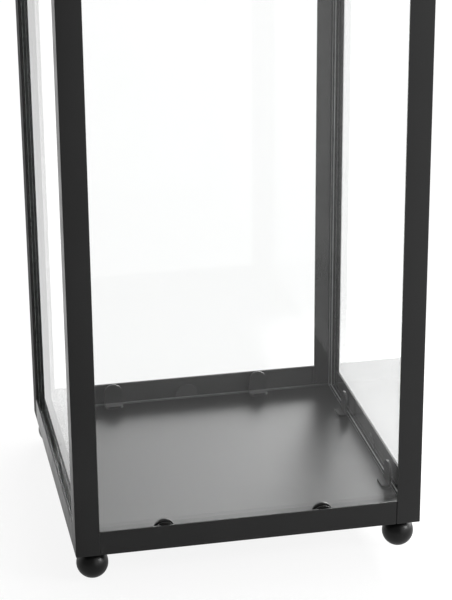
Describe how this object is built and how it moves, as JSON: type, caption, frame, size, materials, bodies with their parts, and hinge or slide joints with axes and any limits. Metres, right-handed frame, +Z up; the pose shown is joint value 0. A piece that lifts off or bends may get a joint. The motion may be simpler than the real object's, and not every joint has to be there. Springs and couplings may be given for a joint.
{
  "type": "candle lantern",
  "caption": "Tall square black metal floor lantern with glass sides, ball feet, a hinged hipped roof and a swinging carrying ring.",
  "frame": {"origin": "on the ground under the centre of the lantern's footprint, the lowest point of the ball feet being z = 0", "axes": "+Z up, the latch side faces -Y, the hinge side faces +Y, +X is the lantern's right seen from the front"},
  "size_m": [0.316, 0.316, 0.7317],
  "materials": {
    "frame_paint": "satin",
    "roof_paint": "satin",
    "plate_paint": "gloss",
    "foot_paint": "satin",
    "hardware_black": "satin",
    "fastener_steel": "satin",
    "pane_glass": "clear"
  },
  "bodies": {
    "frame": {"ball_foot_back_left": "foot_paint", "ball_foot_back_right": "foot_paint", "ball_foot_front_left": "foot_paint", "ball_foot_front_right": "foot_paint", "bottom_rail_back": "frame_paint", "bottom_rail_front": "frame_paint", "bottom_rail_left": "frame_paint", "bottom_rail_right": "frame_paint", "bottom_stop_back": "frame_paint", "bottom_stop_front": "frame_paint", "bottom_stop_left": "frame_paint", "bottom_stop_right": "frame_paint", "bottom_tabs_back": "frame_paint", "bottom_tabs_front": "frame_paint", "bottom_tabs_left": "frame_paint", "bottom_tabs_right": "frame_paint", "floor_plate": "plate_paint", "foot_studs": "fastener_steel", "glass_back": "pane_glass", "glass_front": "pane_glass", "glass_left": "pane_glass", "glass_right": "pane_glass", "hinge_frame_leaf_left": "hardware_black", "hinge_frame_leaf_right": "hardware_black", "hinge_pin_left": "fastener_steel", "hinge_pin_right": "fastener_steel", "hinge_rivets_frame": "fastener_steel", "latch_pivot_stud": "hardware_black", "post_back_left": "frame_paint", "post_back_right": "frame_paint", "post_front_left": "frame_paint", "post_front_right": "frame_paint", "top_plate": "plate_paint", "top_rail_back": "frame_paint", "top_rail_front": "frame_paint", "top_rail_left": "frame_paint", "top_rail_right": "frame_paint", "top_stop_back": "frame_paint", "top_stop_front": "frame_paint", "top_stop_left": "frame_paint", "top_stop_right": "frame_paint", "top_tabs_back": "frame_paint", "top_tabs_front": "frame_paint", "top_tabs_left": "frame_paint", "top_tabs_right": "frame_paint"},
    "roof": {"roof_band": "roof_paint", "eave_plate": "roof_paint", "roof_shell": "roof_paint", "vent_collar": "roof_paint", "vent_cap": "roof_paint", "ring_boss": "roof_paint", "ring_eye": "roof_paint", "hinge_roof_leaf_left": "hardware_black", "hinge_roof_leaf_right": "hardware_black", "hinge_rivets_roof": "fastener_steel", "latch_catch_stud": "hardware_black"},
    "ring": {"carrying_ring": "roof_paint"},
    "latch": {"latch_hook": "hardware_black"}
  },
  "joints": [
    {"name": "roof_hinge", "type": "hinge", "parent": "frame", "child": "roof", "pos_m": [0, 0.1485, 0.58645], "axis": [-1, 0, 0], "range_deg": [0, 105]},
    {"name": "ring_swing", "type": "hinge", "parent": "roof", "child": "ring", "pos_m": [0, 0, 0.72269], "axis": [-1, 0, 0], "range_deg": [0, 234]},
    {"name": "latch_turn", "type": "hinge", "parent": "frame", "child": "latch", "pos_m": [0, -0.1466, 0.57625], "axis": [0, -1, 0], "range_deg": [0, 180]}
  ]
}
